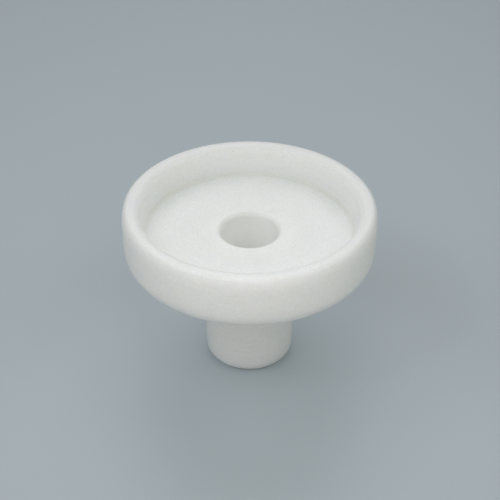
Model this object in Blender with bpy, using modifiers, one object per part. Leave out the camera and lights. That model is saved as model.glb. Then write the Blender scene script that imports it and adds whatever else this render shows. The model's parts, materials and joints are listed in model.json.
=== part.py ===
"""A turned plastic funnel: a shallow dish, a threaded stem that screws up into it, and a seal ring.

Metres, +Z up. The funnel stands on the end of its stem at z = 0, with its axis on the Z axis.
Every piece is drawn from the seat, the plane where the dish rests on the stem's shoulder.
"""
import math

import bmesh
import bpy
from mathutils import Matrix, Vector

# Dish
RIM_RADIUS = 0.0430          # outside of the dish
DISH_HEIGHT = 0.0205         # underside to the top of the lip
FLOOR_THICKNESS = 0.0098     # underside to the floor inside
LIP_WIDTH = 0.0056           # outside of the dish to the inner wall, measured at the lip
WALL_DRAFT = 0.0016          # how far the inner wall leans in on its way down to the floor
LIP_OUTER_ROUND = 0.0022
LIP_INNER_ROUND = 0.0030
UNDERSIDE_ROUND = 0.0060     # lower outer edge
FLOOR_ROUND = 0.0015         # foot of the inner wall
HOLE_ROUND = 0.0012          # edge of the hole in the floor
HOLE_ROUND_SHARE = 0.75      # the most of the ceiling above the socket that this edge may take

# Stem
BORE_RADIUS = 0.0103         # the bore, and the hole in the floor that it continues
STEM_LENGTH = 0.0420         # foot of the stem to the underside of the dish
STEM_TAPER = 0.0007          # how much thinner the stem's wall is at its foot
STEM_ROUND = 0.0029          # outer edge of the foot
BORE_CHAMFER = 0.0005        # edge of the bore at the foot
SHOULDER_WIDTH = 0.0016      # seat outside the thread
EDGE_CHAMFER = 0.0004        # small edges at the joint
RECESS_DEPTH = 0.0008        # how far the shoulder goes into the dish's underside

# Threaded joint: a right-hand thread on the stem's spigot, in a socket in the dish's underside
SOCKET_DEPTH = 0.0067
SEAT_GAP = 0.0003            # between faces that rest on each other
THREAD_PITCH = 0.0025
THREAD_HEIGHT = 0.0009
THREAD_ROOT_WIDTH = 0.0015
THREAD_CREST_WIDTH = 0.0007
THREAD_CLEARANCE = 0.0002    # at the crest, at the root and on each flank
THREAD_RELIEF = 0.0005       # plain spigot above and below the thread
THREAD_EMBED = 0.0005        # how far a thread's root reaches past the surface that it joins

# Seal ring, in a groove in the spigot's end
SEAL_SECTION = 0.0014        # diameter of the ring's round section
SEAL_GAP = 0.0003            # around the ring in its groove
SEAL_LAND = 0.0006           # spigot wall on each side of the groove

# Facets
TURN_STEPS = 64
ROUND_STEPS = 5              # to one rounded edge
THREAD_STEPS = 48            # to one turn of the thread
SEAL_STEPS = 12              # around the seal ring's section
SHARP_ANGLE = math.radians(35)

# Sizes that follow from the ones above
FLOOR_RADIUS = RIM_RADIUS - LIP_WIDTH - WALL_DRAFT
GROOVE_INNER_RADIUS = BORE_RADIUS + SEAL_LAND
GROOVE_OUTER_RADIUS = GROOVE_INNER_RADIUS + SEAL_SECTION + 2 * SEAL_GAP
SPIGOT_RADIUS = GROOVE_OUTER_RADIUS + SEAL_LAND
SPIGOT_END = SOCKET_DEPTH - SEAT_GAP
SOCKET_RADIUS = SPIGOT_RADIUS + THREAD_CLEARANCE
STEM_RADIUS = SOCKET_RADIUS + THREAD_HEIGHT + SHOULDER_WIDTH
FOOT_RADIUS = STEM_RADIUS - STEM_TAPER
RECESS_RADIUS = STEM_RADIUS + SEAT_GAP
UNDERSIDE = -RECESS_DEPTH
FOOT = UNDERSIDE - STEM_LENGTH
FLOOR = UNDERSIDE + FLOOR_THICKNESS
LIP = UNDERSIDE + DISH_HEIGHT
HOLE_EDGE_ROUND = min(HOLE_ROUND, HOLE_ROUND_SHARE * (FLOOR - SOCKET_DEPTH))
SEAL_CENTRE = SPIGOT_END - SEAL_SECTION / 2
GROOVE_BOTTOM = SPIGOT_END - SEAL_SECTION - SEAL_GAP
THREAD_LOW = -SEAT_GAP + THREAD_RELIEF + THREAD_ROOT_WIDTH / 2
THREAD_HIGH = SPIGOT_END - THREAD_RELIEF - THREAD_ROOT_WIDTH / 2


def clear_scene():
    for item in list(bpy.data.objects):
        bpy.data.objects.remove(item, do_unlink=True)


def make_collection(name):
    collection = bpy.data.collections.new(name)
    bpy.context.scene.collection.children.link(collection)
    return collection


def make_material(name, colour, roughness):
    material = bpy.data.materials.new(name)
    material.use_nodes = True
    shader = material.node_tree.nodes["Principled BSDF"]
    shader.inputs["Base Color"].default_value = (*colour, 1.0)
    shader.inputs["Roughness"].default_value = roughness
    shader.inputs["Metallic"].default_value = 0.0
    return material


def rounded_corner(before, corner, after, radius):
    """Points of the arc of this radius that is tangent to both sides of a corner."""
    before, corner, after = Vector(before), Vector(corner), Vector(after)
    to_before = (before - corner).normalized()
    to_after = (after - corner).normalized()
    half_angle = to_before.angle(to_after) / 2
    middle = (to_before + to_after).normalized()
    centre = corner + middle * radius / math.sin(half_angle)
    start = to_before * radius / math.tan(half_angle) - middle * radius / math.sin(half_angle)
    sweep = math.pi - 2 * half_angle
    if start.x * middle.y - start.y * middle.x > 0:
        sweep = -sweep
    turns = [Matrix.Rotation(sweep * step / ROUND_STEPS, 2) for step in range(ROUND_STEPS + 1)]
    return [centre + turn @ start for turn in turns]


def outline_points(corners):
    """A closed outline from corners (radius, height, rounding); a rounding of 0 keeps the corner sharp."""
    points = []
    for index, (across, height, rounding) in enumerate(corners):
        before = corners[index - 1][:2]
        after = corners[(index + 1) % len(corners)][:2]
        if rounding:
            points += rounded_corner(before, (across, height), after, rounding)
        else:
            points.append(Vector((across, height)))
    return points


def place(item, collection, axis):
    """Puts an object in its collection, with its origin at the seat on the funnel's axis."""
    collection.objects.link(item)
    item.parent = axis
    return item


def turned_piece(name, points, collection, axis, material):
    """Turns a closed outline, which runs down its outer side, about the funnel's axis."""
    mesh = bpy.data.meshes.new(name)
    count = len(points)
    edges = [(index, (index + 1) % count) for index in range(count)]
    mesh.from_pydata([(point.x, 0.0, point.y) for point in points], edges, [])
    mesh.materials.append(material)
    piece = place(bpy.data.objects.new(name, mesh), collection, axis)
    turn = piece.modifiers.new("Turn", "SCREW")
    turn.axis = "Z"
    turn.angle = 2 * math.pi
    turn.steps = TURN_STEPS
    turn.render_steps = TURN_STEPS
    turn.use_merge_vertices = True
    turn.merge_threshold = 0.00001
    turn.use_smooth_shade = False
    return piece


def helical_ridge(name, sides, low, high, collection, axis):
    """A right-hand thread: a section (radius, half height) swept up its helix, closed at both ends.

    low and high are the heights of the section's centre at the two ends. The helix crosses the XZ
    plane at +X where its height is THREAD_LOW, so that every thread on this helix fits every other.
    """
    turns = (high - low) / THREAD_PITCH
    steps = math.ceil(turns * THREAD_STEPS)
    start_angle = 2 * math.pi * (low - THREAD_LOW) / THREAD_PITCH
    across = Vector((math.cos(start_angle), math.sin(start_angle), 0.0))
    up = Vector((0.0, 0.0, 1.0))
    build = bmesh.new()
    corners = [build.verts.new(across * radius + up * (low + half)) for radius, half in sides]
    section = build.faces.new(corners)
    bmesh.ops.spin(
        build,
        geom=[section, *section.edges, *section.verts],
        cent=(0.0, 0.0, 0.0),
        axis=up,
        dvec=up * (high - low) / steps,
        angle=2 * math.pi * turns,
        steps=steps,
    )
    bmesh.ops.recalc_face_normals(build, faces=build.faces)
    mesh = bpy.data.meshes.new(name)
    build.to_mesh(mesh)
    build.free()
    ridge = place(bpy.data.objects.new(name, mesh), collection, axis)
    ridge.hide_render = True
    ridge.display_type = "WIRE"
    return ridge


def thread_section(root, crest, clearance):
    """The corners of a thread's section, grown by a clearance, with its root inside the wall."""
    root_half = THREAD_ROOT_WIDTH / 2 + clearance
    crest_half = THREAD_CREST_WIDTH / 2 + clearance
    inside = root - THREAD_EMBED
    return [(inside, -root_half), (root, -root_half), (crest, -crest_half),
            (crest, crest_half), (root, root_half), (inside, root_half)]


def join_boolean(piece, tool, operation):
    cut = piece.modifiers.new(tool.name, "BOOLEAN")
    cut.operation = operation
    cut.solver = "EXACT"
    cut.object = tool


def shade_round(piece):
    """Applies the modifiers, shades the round faces smooth and keeps the real edges sharp."""
    graph = bpy.context.evaluated_depsgraph_get()
    solid = bpy.data.meshes.new_from_object(piece.evaluated_get(graph))
    solid.name = piece.name
    piece.modifiers.clear()
    piece.data = solid
    solid.shade_smooth()
    solid.set_sharp_from_angle(angle=SHARP_ANGLE)


def make_dish(parts, cutters, axis, material):
    """The dish, with the threaded socket for the stem in its underside."""
    corners = [
        (RIM_RADIUS, LIP, LIP_OUTER_ROUND),
        (RIM_RADIUS, UNDERSIDE, UNDERSIDE_ROUND),
        (RECESS_RADIUS, UNDERSIDE, 0),
        (RECESS_RADIUS, 0.0, 0),
        (SOCKET_RADIUS + EDGE_CHAMFER, 0.0, 0),
        (SOCKET_RADIUS, EDGE_CHAMFER, 0),
        (SOCKET_RADIUS, SOCKET_DEPTH, 0),
        (BORE_RADIUS, SOCKET_DEPTH, 0),
        (BORE_RADIUS, FLOOR, HOLE_EDGE_ROUND),
        (FLOOR_RADIUS, FLOOR, FLOOR_ROUND),
        (FLOOR_RADIUS + WALL_DRAFT, LIP, LIP_INNER_ROUND),
    ]
    dish = turned_piece("dish", outline_points(corners), parts, axis, material)
    crest = SOCKET_RADIUS + THREAD_HEIGHT
    sides = thread_section(SOCKET_RADIUS, crest, THREAD_CLEARANCE)
    below = -THREAD_PITCH
    above = THREAD_HIGH + THREAD_CLEARANCE
    cutter = helical_ridge("socket_thread", sides, below, above, cutters, axis)
    join_boolean(dish, cutter, "DIFFERENCE")
    return dish


def make_stem(parts, cutters, axis, material):
    """The stem: a thick tube with a shoulder, a threaded spigot and a groove for the seal ring."""
    corners = [
        (SPIGOT_RADIUS - EDGE_CHAMFER, SPIGOT_END, 0),
        (SPIGOT_RADIUS, SPIGOT_END - EDGE_CHAMFER, 0),
        (SPIGOT_RADIUS, -SEAT_GAP, 0),
        (STEM_RADIUS - EDGE_CHAMFER, -SEAT_GAP, 0),
        (STEM_RADIUS, -SEAT_GAP - EDGE_CHAMFER, 0),
        (FOOT_RADIUS, FOOT, STEM_ROUND),
        (BORE_RADIUS + BORE_CHAMFER, FOOT, 0),
        (BORE_RADIUS, FOOT + BORE_CHAMFER, 0),
        (BORE_RADIUS, SPIGOT_END, 0),
        (GROOVE_INNER_RADIUS, SPIGOT_END, 0),
        (GROOVE_INNER_RADIUS, GROOVE_BOTTOM, 0),
        (GROOVE_OUTER_RADIUS, GROOVE_BOTTOM, 0),
        (GROOVE_OUTER_RADIUS, SPIGOT_END, 0),
    ]
    stem = turned_piece("stem", outline_points(corners), parts, axis, material)
    sides = thread_section(SPIGOT_RADIUS, SPIGOT_RADIUS + THREAD_HEIGHT, 0.0)
    thread = helical_ridge("spigot_thread", sides, THREAD_LOW, THREAD_HIGH, cutters, axis)
    join_boolean(stem, thread, "UNION")
    return stem


def make_seal_ring(parts, axis, material):
    """A ring of round section in the groove in the spigot's end."""
    middle = (GROOVE_INNER_RADIUS + GROOVE_OUTER_RADIUS) / 2
    points = []
    for step in range(SEAL_STEPS):
        angle = math.pi / 2 - 2 * math.pi * step / SEAL_STEPS
        across = middle + SEAL_SECTION / 2 * math.cos(angle)
        height = SEAL_CENTRE + SEAL_SECTION / 2 * math.sin(angle)
        points.append(Vector((across, height)))
    return turned_piece("seal_ring", points, parts, axis, material)


def main():
    clear_scene()
    parts = make_collection("buchner_funnel")
    cutters = make_collection("thread_tools")
    axis = bpy.data.objects.new("funnel_axis", None)
    axis.location = (0.0, 0.0, -FOOT)
    parts.objects.link(axis)
    dish_plastic = make_material("dish_plastic", (0.86, 0.87, 0.85), 0.42)
    stem_plastic = make_material("stem_plastic", (0.85, 0.86, 0.84), 0.42)
    seal_rubber = make_material("seal_rubber", (0.60, 0.61, 0.60), 0.6)
    pieces = [
        make_dish(parts, cutters, axis, dish_plastic),
        make_stem(parts, cutters, axis, stem_plastic),
        make_seal_ring(parts, axis, seal_rubber),
    ]
    for piece in pieces:
        shade_round(piece)


main()
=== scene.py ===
"""Looks for a turned white plastic filter funnel: a dish, a stem that screws up into it, and a seal.

Every surface is a turned outline: a closed curve of radius and height, carried round the Z axis on
a grid of angle and distance along the outline. The two threads are that same grid, pushed out along
a helix. Lengths are in millimetres until a mesh is made, and in metres after that.
"""
import json
import math

import bpy
import numpy as np
from mathutils import Matrix, Vector


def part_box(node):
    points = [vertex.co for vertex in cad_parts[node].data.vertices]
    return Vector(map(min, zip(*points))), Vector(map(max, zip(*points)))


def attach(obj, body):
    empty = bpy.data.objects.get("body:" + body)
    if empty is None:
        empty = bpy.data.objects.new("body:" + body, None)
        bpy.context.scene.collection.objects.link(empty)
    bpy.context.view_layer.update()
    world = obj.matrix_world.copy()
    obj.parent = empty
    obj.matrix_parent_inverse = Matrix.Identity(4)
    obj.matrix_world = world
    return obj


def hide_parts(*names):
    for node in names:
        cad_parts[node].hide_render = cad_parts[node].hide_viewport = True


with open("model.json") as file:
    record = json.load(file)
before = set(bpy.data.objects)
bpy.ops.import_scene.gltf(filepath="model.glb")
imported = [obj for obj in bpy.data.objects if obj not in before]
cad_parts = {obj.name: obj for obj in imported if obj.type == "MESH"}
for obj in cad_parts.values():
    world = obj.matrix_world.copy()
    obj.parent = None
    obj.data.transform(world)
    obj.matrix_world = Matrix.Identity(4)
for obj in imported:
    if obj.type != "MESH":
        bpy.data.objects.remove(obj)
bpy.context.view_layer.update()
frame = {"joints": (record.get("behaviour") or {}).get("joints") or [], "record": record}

MM = 0.001

# Places taken from the solid model
DISH_LOW, DISH_HIGH = (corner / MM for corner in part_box("dish"))
STEM_LOW, STEM_HIGH = (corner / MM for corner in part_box("stem"))
SEAL_LOW, SEAL_HIGH = (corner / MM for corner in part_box("seal_ring"))
MOUNTS = {mount["name"]: mount["pos_m"] for mount in frame["record"]["mounts"]}
JOINT_HEIGHTS = [joint["pos_m"][2] / MM for joint in frame["joints"] if "pos_m" in joint]
RIM = DISH_HIGH.x
LIP = DISH_HIGH.z
UNDERSIDE = DISH_LOW.z
FLOOR = MOUNTS["filter_seat"][2] / MM
SEAT = JOINT_HEIGHTS[0]
FOOT = STEM_LOW.z
STEM = STEM_HIGH.x

# Dish
LIP_WIDTH = 5.6
WALL_DRAFT = 1.6
LIP_OUTER_ROUND = 1.7
LIP_EASE = 0.8               # how far the lip's outside leans in over its top LIP_EASE_DROP
LIP_EASE_DROP = 3.2
LIP_EASE_ROUND = 9.0
LIP_INNER_ROUND = 2.8
UNDERSIDE_ROUND = 6.2
FLOOR_ROUND = 1.5
HOLE_ROUND = 1.5

# Stem and joint
BORE = 10.0
STEM_TAPER = 0.7
STEM_ROUND = 2.9
BORE_ROUND = 0.5
SPIGOT = 13.5
SOCKET = 13.7
SOCKET_DEPTH = 6.7
CEILING = SEAT + SOCKET_DEPTH
FINE_GAP = 0.06              # the hairline where the two pieces meet inside the hole
RECESS_GAP = 0.15            # the fine line round the stem where it enters the dish
SHOULDER_DROP = 0.3
GROOVE_LAND = 0.6
GROOVE_DEPTH = 1.7
SOFT_EDGE = 0.12             # edges that a knife has just taken the burr off
DISH_THICK_FROM = (15.0, 22.0)   # radii over which the plastic gets thick enough to glow
STEM_THICK_FROM = (11.0, 13.0)
SEAL_THICK_FROM = (0.0, 1.0)
BORE_FADE = 0.5              # past the bore, over which its painted brightening fades
WALL_MARGIN = 0.3            # of a threaded wall at each end, left plain

# Thread
PITCH = 2.5
THREAD_HEIGHT = 0.9
THREAD_ROOT = 0.75           # half widths
THREAD_CREST = 0.35
THREAD_CLEARANCE = 0.2
THREAD_LOW = SEAT + 0.95
THREAD_HIGH = SEAT + 5.15
THREAD_FADE = 0.08           # of a turn, over which a thread's end rises

# Studio
CAMERA_AWAY = 0.3465         # metres
CAMERA_DOWN = math.radians(35.99)
CAMERA_ROLL = 0.0037
CAMERA_LENS = 72.0
CAMERA_SENSOR = 36.0
CAMERA_ASIDE = 0.17          # where it aims: right of the axis, and above the seat
CAMERA_RAISED = 0.24
TABLE_RADIUS = 1500.0
ROOM_COLOUR = (0.96, 1.0, 0.94, 1.0)
ROOM_STRENGTH = 0.28
LIGHT_BOUNCES = 24           # light goes on a long way between walls as white as these

# Grids
AROUND = 256
ARC_STEP = math.radians(6)
STRAIGHT_STEP = 1.2
THREAD_STEP = 0.06
SEAL_STEPS = 48
TABLE_RINGS = 24
TABLE_STEPS = 96

# Marks that the points carry: a bend of 1 / gain, per millimetre, counts as a full edge or corner
EDGE_GAIN = 1.6
HOLLOW_GAIN = 1.2


def arc_points(before, corner, after, radius):
    """The arc of this radius tangent to both sides of a corner: centre + radius * (cos t, sin t)."""
    before, corner, after = (np.asarray(point, float) for point in (before, corner, after))
    to_before = (before - corner) / np.linalg.norm(before - corner)
    to_after = (after - corner) / np.linalg.norm(after - corner)
    half = math.acos(np.clip(to_before @ to_after, -1, 1)) / 2
    middle = (to_before + to_after) / np.linalg.norm(to_before + to_after)
    centre = corner + middle * radius / math.sin(half)
    start = corner + to_before * radius / math.tan(half) - centre
    end = corner + to_after * radius / math.tan(half) - centre
    first = math.atan2(start[1], start[0])
    sweep = (math.atan2(end[1], end[0]) - first + math.pi) % (2 * math.pi) - math.pi
    count = max(4, math.ceil(abs(sweep) / ARC_STEP))
    turn = first + sweep * np.linspace(0, 1, count + 1)
    return centre + radius * np.stack([np.cos(turn), np.sin(turn)], 1)


def outline(corners):
    """A closed outline of (radius, height) rows from corners (radius, height, rounding, step).

    Each corner becomes a tangent arc, and the straight stretch after it is divided into equal
    parts no longer than its step. It runs down the funnel's outer side.
    """
    count = len(corners)
    arcs = [
        arc_points(corners[index - 1][:2], corner[:2], corners[(index + 1) % count][:2], corner[2])
        for index, corner in enumerate(corners)
    ]
    rows = []
    for index, arc in enumerate(arcs):
        following = arcs[(index + 1) % count][0]
        parts = max(1, math.ceil(np.linalg.norm(following - arc[-1]) / corners[index][3]))
        share = np.linspace(0, 1, parts, endpoint=False)[1:, None]
        rows += [arc, arc[-1] + (following - arc[-1]) * share]
    return np.concatenate(rows)


def bend_of(rows):
    """How sharply an outline turns at each row: turn / mean step, positive on outer edges."""
    ahead = np.roll(rows, -1, 0) - rows
    behind = rows - np.roll(rows, 1, 0)
    cross = behind[:, 0] * ahead[:, 1] - behind[:, 1] * ahead[:, 0]
    dot = (behind * ahead).sum(1)
    step = (np.linalg.norm(ahead, axis=1) + np.linalg.norm(behind, axis=1)) / 2
    return -np.arctan2(cross, dot) / step


def thread_rise(angle, height, clearance, low, high):
    """0 to 1 across a right-hand thread: a sloped ramp in |height - helix(angle)|, where the helix is
    THREAD_LOW + PITCH * turns, and a smooth rise over THREAD_FADE of a turn at each end."""
    turns = angle / (2 * np.pi)
    whole = np.round((height - THREAD_LOW) / PITCH - turns)
    along = whole + turns
    off = np.abs(height - THREAD_LOW - PITCH * along)
    ramp = np.clip((THREAD_ROOT + clearance - off) / (THREAD_ROOT - THREAD_CREST), 0, 1)
    start = np.clip((along - (low - THREAD_LOW) / PITCH) / THREAD_FADE, 0, 1)
    end = np.clip(((high - THREAD_LOW) / PITCH - along) / THREAD_FADE, 0, 1)
    return ramp * start * end


def socket_thread(angle, rows):
    """The radius of the dish's rows where the thread is cut: the larger of the outline's own radius
    and SOCKET + THREAD_HEIGHT * rise, inside the socket."""
    radius, height = rows[:, :1], rows[:, 1:]
    below = SEAT - PITCH
    above = THREAD_HIGH + THREAD_CLEARANCE
    rise = thread_rise(angle, height, THREAD_CLEARANCE, below, above)
    wall = (radius < SOCKET + SOFT_EDGE * 4) & (radius > BORE + 1)
    wall &= (height < CEILING - WALL_MARGIN) & (height > UNDERSIDE + WALL_MARGIN)
    return np.where(wall, np.maximum(radius, SOCKET + THREAD_HEIGHT * rise), radius)


def spigot_thread(angle, rows):
    """The radius of the stem's rows: the outline's radius + THREAD_HEIGHT * rise on the spigot."""
    radius, height = rows[:, :1], rows[:, 1:]
    rise = thread_rise(angle, height, 0.0, THREAD_LOW, THREAD_HIGH)
    wall = (np.abs(radius - SPIGOT) < SOFT_EDGE) & (height > SEAT)
    return np.where(wall, radius + THREAD_HEIGHT * rise, radius)


def turned(name, rows, thick_from, radius_of=None):
    """Carries a closed outline round the Z axis: x = r cos a, y = r sin a, z = height, with
    r = radius_of(a, rows). Each point also keeps its distance along the outline, in millimetres,
    and, from 0 to 1, how much of an outer edge or an inner corner it is, whether it is in the bore,
    and how deep light sinks in: nothing inside thick_from's first radius, all outside its second."""
    angle = np.linspace(0, 2 * np.pi, AROUND, endpoint=False)[None, :]
    radius = np.repeat(rows[:, :1], AROUND, 1) if radius_of is None else radius_of(angle, rows)
    height = np.repeat(rows[:, 1:], AROUND, 1)
    points = np.stack([radius * np.cos(angle), radius * np.sin(angle), height], -1)
    length = np.linalg.norm(np.diff(rows, axis=0, append=rows[:1]), axis=1)
    run = np.concatenate([[0.0], np.cumsum(length)[:-1]])
    bend = bend_of(rows)
    down, across = np.meshgrid(np.arange(len(rows)), np.arange(AROUND), indexing="ij")
    next_down, next_across = (down + 1) % len(rows), (across + 1) % AROUND
    faces = np.stack([
        down * AROUND + across,
        next_down * AROUND + across,
        next_down * AROUND + next_across,
        down * AROUND + next_across,
    ], -1)
    marks = {
        "run": run,
        "edge": np.clip(bend * EDGE_GAIN, 0, 1),
        "corner_shade": np.clip(-bend * HOLLOW_GAIN, 0, 1),
        "bore": np.clip((BORE + BORE_FADE - rows[:, 0]) / BORE_FADE, 0, 1),
        "deep": np.clip((rows[:, 0] - thick_from[0]) / (thick_from[1] - thick_from[0]), 0, 1),
    }
    return surface(name, points, faces, {key: np.repeat(value, AROUND) for key, value in marks.items()})


def surface(name, points, faces, marks):
    """A smooth closed mesh from a grid of points, in millimetres, and its square faces."""
    mesh = bpy.data.meshes.new(name)
    flat_points = points.reshape(-1, 3) * MM
    flat_faces = faces.reshape(-1, 4)
    mesh.vertices.add(len(flat_points))
    mesh.vertices.foreach_set("co", flat_points.ravel())
    mesh.loops.add(flat_faces.size)
    mesh.loops.foreach_set("vertex_index", flat_faces.ravel())
    mesh.polygons.add(len(flat_faces))
    mesh.polygons.foreach_set("loop_start", np.arange(0, flat_faces.size, 4))
    mesh.update(calc_edges=True)
    mesh.validate()
    mesh.shade_smooth()
    for key, values in marks.items():
        mesh.attributes.new(key, "FLOAT", "POINT").data.foreach_set("value", values)
    piece = bpy.data.objects.new(name, mesh)
    bpy.context.scene.collection.objects.link(piece)
    return piece


def make_dish():
    """The dish: its outline runs up the hole, across the floor, over the lip and back underneath."""
    wall_foot = RIM - LIP_WIDTH - WALL_DRAFT
    wall_top = RIM - LIP_WIDTH
    recess = STEM + RECESS_GAP
    rows = outline([
        (BORE, CEILING, SOFT_EDGE / 2, STRAIGHT_STEP),
        (BORE, FLOOR, HOLE_ROUND, STRAIGHT_STEP),
        (wall_foot, FLOOR, FLOOR_ROUND, STRAIGHT_STEP),
        (wall_top, LIP, LIP_INNER_ROUND, STRAIGHT_STEP),
        (RIM - LIP_EASE, LIP, LIP_OUTER_ROUND, STRAIGHT_STEP),
        (RIM, LIP - LIP_EASE_DROP, LIP_EASE_ROUND, STRAIGHT_STEP),
        (RIM, UNDERSIDE, UNDERSIDE_ROUND, STRAIGHT_STEP),
        (recess, UNDERSIDE, SOFT_EDGE, STRAIGHT_STEP),
        (recess, SEAT, SOFT_EDGE, STRAIGHT_STEP),
        (SOCKET, SEAT, SOFT_EDGE * 3, THREAD_STEP),
        (SOCKET, CEILING, SOFT_EDGE, STRAIGHT_STEP),
    ])
    return turned("dish_turned", rows, DISH_THICK_FROM, socket_thread)


def make_stem():
    """The stem: its outline runs out of the seal's groove, down the thread and the outside, and back
    up the bore."""
    spigot_end = CEILING - FINE_GAP
    groove_in = BORE + GROOVE_LAND
    groove_out = SPIGOT - GROOVE_LAND
    groove_bottom = spigot_end - GROOVE_DEPTH
    rows = outline([
        (groove_out, groove_bottom, SOFT_EDGE, STRAIGHT_STEP),
        (groove_out, spigot_end, SOFT_EDGE / 2, STRAIGHT_STEP),
        (SPIGOT, spigot_end, SOFT_EDGE * 2, THREAD_STEP),
        (SPIGOT, SEAT - SHOULDER_DROP, SOFT_EDGE, STRAIGHT_STEP),
        (STEM, SEAT - SHOULDER_DROP, SOFT_EDGE * 2, STRAIGHT_STEP),
        (STEM - STEM_TAPER, FOOT, STEM_ROUND, STRAIGHT_STEP),
        (BORE, FOOT, BORE_ROUND, STRAIGHT_STEP),
        (BORE, spigot_end, SOFT_EDGE / 2, STRAIGHT_STEP),
        (groove_in, spigot_end, SOFT_EDGE / 2, STRAIGHT_STEP),
        (groove_in, groove_bottom, SOFT_EDGE, STRAIGHT_STEP),
    ])
    return turned("stem_turned", rows, STEM_THICK_FROM, spigot_thread)


def make_seal():
    """The seal: a round section with a low flash line inside and outside, carried round the axis."""
    section = SEAL_HIGH.z - SEAL_LOW.z
    middle = SEAL_HIGH.x - section / 2
    top = CEILING - FINE_GAP / 2
    turn = -np.linspace(0, 2 * np.pi, SEAL_STEPS, endpoint=False)
    swell = 1 + 0.02 * np.exp(-(np.sin(turn) / 0.12) ** 2)
    across = middle + section / 2 * np.cos(turn) * swell
    height = top - section / 2 + section / 2 * np.sin(turn)
    return turned("seal_moulded", np.stack([across, height], 1), SEAL_THICK_FROM)


class Nodes:
    """A material's node tree, with a short way to add a node and link its inputs."""

    def __init__(self, name):
        self.material = bpy.data.materials.new(name)
        self.material.use_nodes = True
        self.tree = self.material.node_tree
        self.shader = self.tree.nodes["Principled BSDF"]
        self.column = 0

    def add(self, kind, inputs=None, out=0, **settings):
        """Adds a node, sets its inputs (a socket is linked, anything else is a value) and returns an
        output socket."""
        made = self.tree.nodes.new(kind)
        self.column += 1
        made.location = (-260 * (self.column % 9) - 300, -230 * (self.column // 9))
        for key, value in settings.items():
            setattr(made, key, value)
        for key, value in (inputs or {}).items():
            self.put(made.inputs[key], value)
        return made.outputs[out]

    def put(self, socket, value):
        if isinstance(value, bpy.types.NodeSocket):
            self.tree.links.new(value, socket)
        elif socket.type == "RGBA":
            socket.default_value = (*value, 1.0)
        else:
            socket.default_value = value

    def math(self, operation, first, second=0.0, third=0.0, clamp=False):
        inputs = {0: first, 1: second, 2: third}
        return self.add("ShaderNodeMath", inputs, operation=operation, use_clamp=clamp)

    def remap(self, value, low, high, to_low=0.0, to_high=1.0):
        """Carries low..high to to_low..to_high with a smooth step, and holds it outside them."""
        inputs = {0: value, 1: low, 2: high, 3: to_low, 4: to_high}
        return self.add("ShaderNodeMapRange", inputs, interpolation_type="SMOOTHSTEP")

    def mix(self, amount, below, above):
        """Mixes two colours by an amount from 0 to 1."""
        inputs = {0: amount, 6: below, 7: above}
        return self.add("ShaderNodeMix", inputs, out=2, data_type="RGBA")

    def place(self, scale=1.0, stretch=(1.0, 1.0, 1.0), turn=(0.0, 0.0, 0.0)):
        """The piece's own coordinates in millimetres, times a scale, stretched and turned."""
        own = self.add("ShaderNodeTexCoord", out=3)
        size = [factor * scale / MM for factor in stretch]
        return self.add("ShaderNodeMapping", {"Vector": own, "Rotation": turn, "Scale": size})

    def noise(self, place, scale, detail=2.0, rough=0.5):
        inputs = {"Vector": place, "Scale": scale, "Detail": detail, "Roughness": rough}
        return self.add("ShaderNodeTexNoise", inputs)

    def rings(self, run, scale, detail=2.0):
        """Noise of one number, so that it is the same all the way round the axis."""
        inputs = {"W": run, "Scale": scale, "Detail": detail, "Roughness": 0.6}
        return self.add("ShaderNodeTexNoise", inputs, noise_dimensions="1D")

    def mark(self, name):
        """A number that the mesh carries at each point."""
        return self.add("ShaderNodeAttribute", out=2, attribute_name=name)

    def bump(self, height, depth, before=None):
        """Raises the surface by height * depth, with depth in millimetres."""
        inputs = {"Strength": 1.0, "Distance": depth * MM, "Height": height}
        if before is not None:
            inputs["Normal"] = before
        return self.add("ShaderNodeBump", inputs)

    def finish(self, **values):
        """Sets the shader's sockets, named with underscores for spaces, and returns the material."""
        for name, value in values.items():
            self.put(self.shader.inputs[name.replace("_", " ").title().replace("Ior", "IOR")], value)
        return self.material


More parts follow.
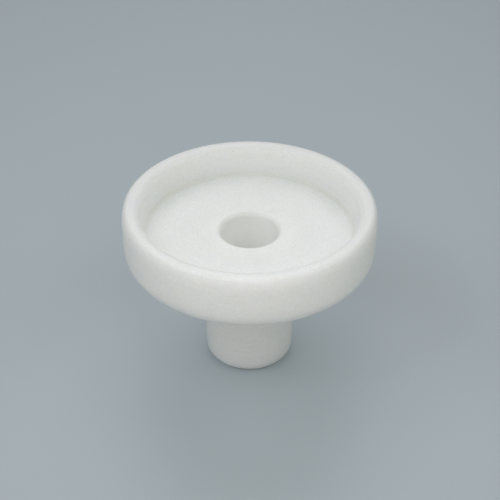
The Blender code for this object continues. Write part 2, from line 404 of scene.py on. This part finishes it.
def turned_plastic(name, body_colour, shade_colour, feed, roughness):
    """White fluoropolymer straight off the lathe: a soft satin skin that light sinks into, with the
    tool's fine helix, broader bands where it was pressed harder, and the marks of a lab drawer.
    Its inner corners are darkened as painted shade, and its bore is whitened as painted light."""
    kit = Nodes(name)
    own = kit.place()
    run, edge, corner_shade = kit.mark("run"), kit.mark("edge"), kit.mark("corner_shade")

    # The tool's path: sin(2 pi (run / feed + turns)), with its depth coming and going in rings
    axes = kit.add("ShaderNodeSeparateXYZ", {0: own}).node.outputs
    turns = kit.math("DIVIDE", kit.math("ARCTAN2", axes[1], axes[0]), 2 * math.pi)
    phase = kit.math("MULTIPLY_ADD", run, 1 / feed, turns)
    helix = kit.math("SINE", kit.math("MULTIPLY", phase, 2 * math.pi))
    bands = kit.rings(run, 0.42, 4.0)
    lines = kit.rings(run, 1.5, 5.0)
    pressed = kit.remap(bands, 0.35, 0.65)

    # What the skin has met since: hairline scratches, nicks on the edges, smears, black specks
    drawn = kit.noise(kit.place(0.11, (0.05, 1.0, 0.4), (0.3, 0.2, 0.9)), 1.0, 1.0)
    crossed = kit.noise(kit.place(0.13, (1.0, 0.04, 0.5), (0.1, 0.4, 2.3)), 1.0, 1.0)
    spread = kit.remap(kit.noise(own, 0.06, 1.0), 0.52, 0.62)
    scratches = kit.math("MAXIMUM", hairline(kit, drawn), hairline(kit, crossed))
    scratches = kit.math("MULTIPLY", scratches, spread)
    smears = kit.remap(kit.noise(own, 0.07, 3.0, 0.6), 0.5, 0.72)
    nicks = kit.math("MULTIPLY", kit.remap(kit.noise(own, 0.9, 3.0, 0.7), 0.56, 0.68), edge)
    cells = kit.add("ShaderNodeTexVoronoi", {"Vector": own, "Scale": 0.5}).node.outputs
    chosen = kit.math("GREATER_THAN", kit.add("ShaderNodeSeparateColor", {0: cells[1]}), 0.93)
    specks = kit.math("MULTIPLY", kit.remap(cells[0], 0.05, 0.09, 1.0, 0.0), chosen)

    # Colour: cloudy through its depth, finely mottled, whiter in the bore as painted light, darker
    # in the inner corners as painted shade, and duller where it is worn
    cloud = kit.noise(own, 0.045, 4.0, 0.55)
    mottle = kit.noise(own, 1.3, 3.0, 0.65)
    grain = kit.noise(own, 2.6, 3.0, 0.6)
    whiter = kit.remap(cloud, 0.3, 0.7, 0.35, 0.8)
    for field, share in ((mottle, 2.0), (grain, 3.6), (lines, 1.2), (bands, 0.5)):
        whiter = kit.math("MULTIPLY_ADD", kit.math("SUBTRACT", field, 0.5), share, whiter)
    colour = kit.mix(kit.math("ADD", whiter, 0.0, clamp=True), shade_colour, body_colour)
    # Painted light: the bore is whitened to stand in for light that glows into it through the walls
    colour = kit.mix(kit.mark("bore"), colour, (0.985, 0.985, 0.975))
    # A darker, greyer tone: painted shade in the inner corners, and real wear for scratches and smears
    wear_and_shade_colour = tuple(value * factor for value, factor in zip(shade_colour, (0.93, 0.92, 0.88)))
    # Painted shade: the inner corners are darkened and greyed
    colour = kit.mix(kit.math("MULTIPLY", corner_shade, 0.35), colour, wear_and_shade_colour)
    colour = kit.mix(kit.math("MULTIPLY", scratches, 0.25), colour, wear_and_shade_colour)
    colour = kit.mix(kit.math("MULTIPLY", smears, 0.15), colour, wear_and_shade_colour)
    colour = kit.mix(kit.math("MULTIPLY", specks, 0.5), colour, (0.30, 0.28, 0.24))

    # Roughness: smoother where the tool rubbed and on handled edges, duller in smears
    rough = kit.math("MULTIPLY_ADD", pressed, -0.07, roughness)
    rough = kit.math("MULTIPLY_ADD", lines, 0.08, rough)
    rough = kit.math("MULTIPLY_ADD", smears, 0.09, rough)
    rough = kit.math("MULTIPLY_ADD", edge, -0.06, rough)
    rough = kit.math("MULTIPLY_ADD", scratches, 0.12, rough)

    ripple = kit.noise(own, 0.16, 2.0)
    relief = kit.bump(ripple, 0.2)
    relief = kit.bump(bands, 0.12, relief)
    relief = kit.bump(lines, 0.045, relief)
    relief = kit.bump(kit.math("MULTIPLY", helix, kit.remap(bands, 0.3, 0.7, 0.4, 1.0)), 0.0006, relief)
    relief = kit.bump(mottle, 0.09, relief)
    relief = kit.bump(grain, 0.06, relief)
    relief = kit.bump(kit.math("MAXIMUM", scratches, nicks), -0.012, relief)
    return kit.finish(
        base_color=colour,
        roughness=rough,
        normal=relief,
        ior=1.37,
        specular_ior_level=0.4,
        coat_weight=0.3,
        coat_roughness=0.17,
        coat_ior=1.35,
        subsurface_weight=kit.mark("deep"),
        subsurface_radius=(1.0, 0.96, 0.86),
        subsurface_scale=0.010,
    )


def hairline(kit, field):
    """1 on the thin line where a stretched noise crosses its middle, and 0 away from it."""
    off = kit.math("ABSOLUTE", kit.math("SUBTRACT", field, 0.5))
    return kit.remap(off, 0.0008, 0.0022, 1.0, 0.0)


def moulded_rubber(name):
    """Pale grey silicone rubber out of a mould: matt, finely pored, with powder left on it."""
    kit = Nodes(name)
    own = kit.place()
    powder = kit.remap(kit.noise(own, 0.5, 4.0, 0.6), 0.45, 0.75)
    pores = kit.noise(own, 6.0, 2.0)
    colour = kit.mix(powder, (0.52, 0.53, 0.52), (0.66, 0.66, 0.64))
    rough = kit.math("MULTIPLY_ADD", powder, 0.2, 0.5)
    relief = kit.bump(pores, 0.006, kit.bump(kit.noise(own, 1.2, 2.0), 0.01))
    return kit.finish(
        base_color=colour,
        roughness=rough,
        normal=relief,
        ior=1.42,
        subsurface_weight=0.3,
        subsurface_radius=(1.0, 0.9, 0.8),
        subsurface_scale=0.0008,
    )


def table_top(name):
    """A pale blue-grey lacquered board with a soft shine and a faint unevenness."""
    kit = Nodes(name)
    own = kit.place()
    cloud = kit.noise(own, 0.006, 3.0)
    colour = kit.mix(cloud, (0.49, 0.55, 0.60), (0.51, 0.57, 0.62))
    rough = kit.math("MULTIPLY_ADD", kit.noise(own, 0.02, 2.0), 0.08, 0.40)
    return kit.finish(base_color=colour, roughness=rough, ior=1.45)


def make_table():
    """The floor: a disc of TABLE_RADIUS, as a grid of angle and radius = TABLE_RADIUS * share ** 2."""
    ring = np.linspace(0.001, 1, TABLE_RINGS)[:, None] ** 2 * TABLE_RADIUS
    angle = np.linspace(0, 2 * np.pi, TABLE_STEPS, endpoint=False)[None, :]
    points = np.stack([ring * np.cos(angle), ring * np.sin(angle), ring * 0 * angle], -1)
    out, across = np.meshgrid(np.arange(TABLE_RINGS - 1), np.arange(TABLE_STEPS), indexing="ij")
    after = (across + 1) % TABLE_STEPS
    faces = np.stack([
        out * TABLE_STEPS + across,
        (out + 1) * TABLE_STEPS + across,
        (out + 1) * TABLE_STEPS + after,
        out * TABLE_STEPS + after,
    ], -1)
    return surface("table", points, faces, {})


def soft_light(name, side, height, away, size, power, colour):
    """A square soft box that looks at the dish, side degrees left of the front, height degrees up."""
    lamp = bpy.data.lights.new(name, "AREA")
    lamp.shape = "RECTANGLE"
    lamp.size, lamp.size_y = size
    lamp.energy = power
    lamp.color = colour
    across, up = math.radians(side), math.radians(height)
    back = Vector((-math.sin(across) * math.cos(up), -math.cos(across) * math.cos(up), math.sin(up)))
    light = bpy.data.objects.new(name, lamp)
    light.rotation_mode = "QUATERNION"
    light.rotation_quaternion = (-back).to_track_quat("-Z", "Y")
    light.visible_camera = False
    light.location = back * away + Vector((0, 0, SEAT * MM))
    bpy.context.scene.collection.objects.link(light)
    return light


def make_lights():
    """Plain studio light: a near key and a wide low fill in front, soft boxes at both sides and
    behind, a small light for a glint on the far lip, and a pale room all round."""
    soft_light("key_light", 0, 44, 0.14, (0.06, 0.06), 0.030, (0.97, 0.96, 1.0))
    soft_light("low_fill", 4, 5, 0.55, (0.60, 0.12), 0.36, (1.0, 0.83, 0.67))
    soft_light("left_fill", 70, 45, 0.60, (0.40, 0.40), 0.65, (0.97, 1.0, 1.0))
    soft_light("right_fill", -70, 45, 0.60, (0.40, 0.40), 0.47, (0.97, 1.0, 0.91))
    soft_light("back_fill", 180, 50, 0.60, (0.50, 0.40), 1.02, (0.96, 0.95, 1.0))
    soft_light("small_light", 50, 50, 0.60, (0.04, 0.04), 0.09, (1.0, 1.0, 1.0))
    world = bpy.data.worlds.new("pale_room")
    world.use_nodes = True
    background = world.node_tree.nodes["Background"]
    background.inputs["Color"].default_value = ROOM_COLOUR
    background.inputs["Strength"].default_value = ROOM_STRENGTH
    bpy.context.scene.world = world


def make_camera():
    """A camera CAMERA_AWAY from the seat on the axis, CAMERA_DOWN above it in front, barely rolled."""
    lens = bpy.data.cameras.new("camera")
    lens.lens = CAMERA_LENS
    lens.sensor_width = CAMERA_SENSOR
    lens.clip_start, lens.clip_end = 0.01, 20.0
    camera = bpy.data.objects.new("camera", lens)
    aim = Vector((CAMERA_ASIDE, 0.0, SEAT + CAMERA_RAISED)) * MM
    back = Vector((0.0, -math.cos(CAMERA_DOWN), math.sin(CAMERA_DOWN)))
    place = Vector((0.0, 0.0, aim.z)) + back * CAMERA_AWAY
    turned_to = (aim - place).to_track_quat("-Z", "Y").to_matrix()
    turned_to = turned_to @ Matrix.Rotation(CAMERA_ROLL, 3, "Z")
    camera.matrix_world = Matrix.Translation(place) @ turned_to.to_4x4()
    bpy.context.scene.collection.objects.link(camera)
    bpy.context.scene.camera = camera


def main():
    bpy.context.scene.view_settings.view_transform = "Standard"
    bpy.context.scene.cycles.max_bounces = LIGHT_BOUNCES
    bpy.context.scene.cycles.diffuse_bounces = LIGHT_BOUNCES
    plastic = turned_plastic("turned_dish", (0.976, 0.985, 0.964), (0.90, 0.912, 0.882), 0.14, 0.42)
    stem_plastic = turned_plastic("turned_stem", (0.972, 0.982, 0.96), (0.89, 0.903, 0.872), 0.18, 0.44)
    rubber = moulded_rubber("moulded_seal")
    for piece, node, body, slot, material in (
        (make_dish(), "dish", "dish", "dish_plastic", plastic),
        (make_stem(), "stem", "stem", "stem_plastic", stem_plastic),
        (make_seal(), "seal_ring", "seal", "seal_rubber", rubber),
    ):
        piece.data.materials.append(material)
        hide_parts(node)
        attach(piece, body)
    table = make_table()
    table.data.materials.append(table_top("table_lacquer"))
    make_lights()
    make_camera()


main()
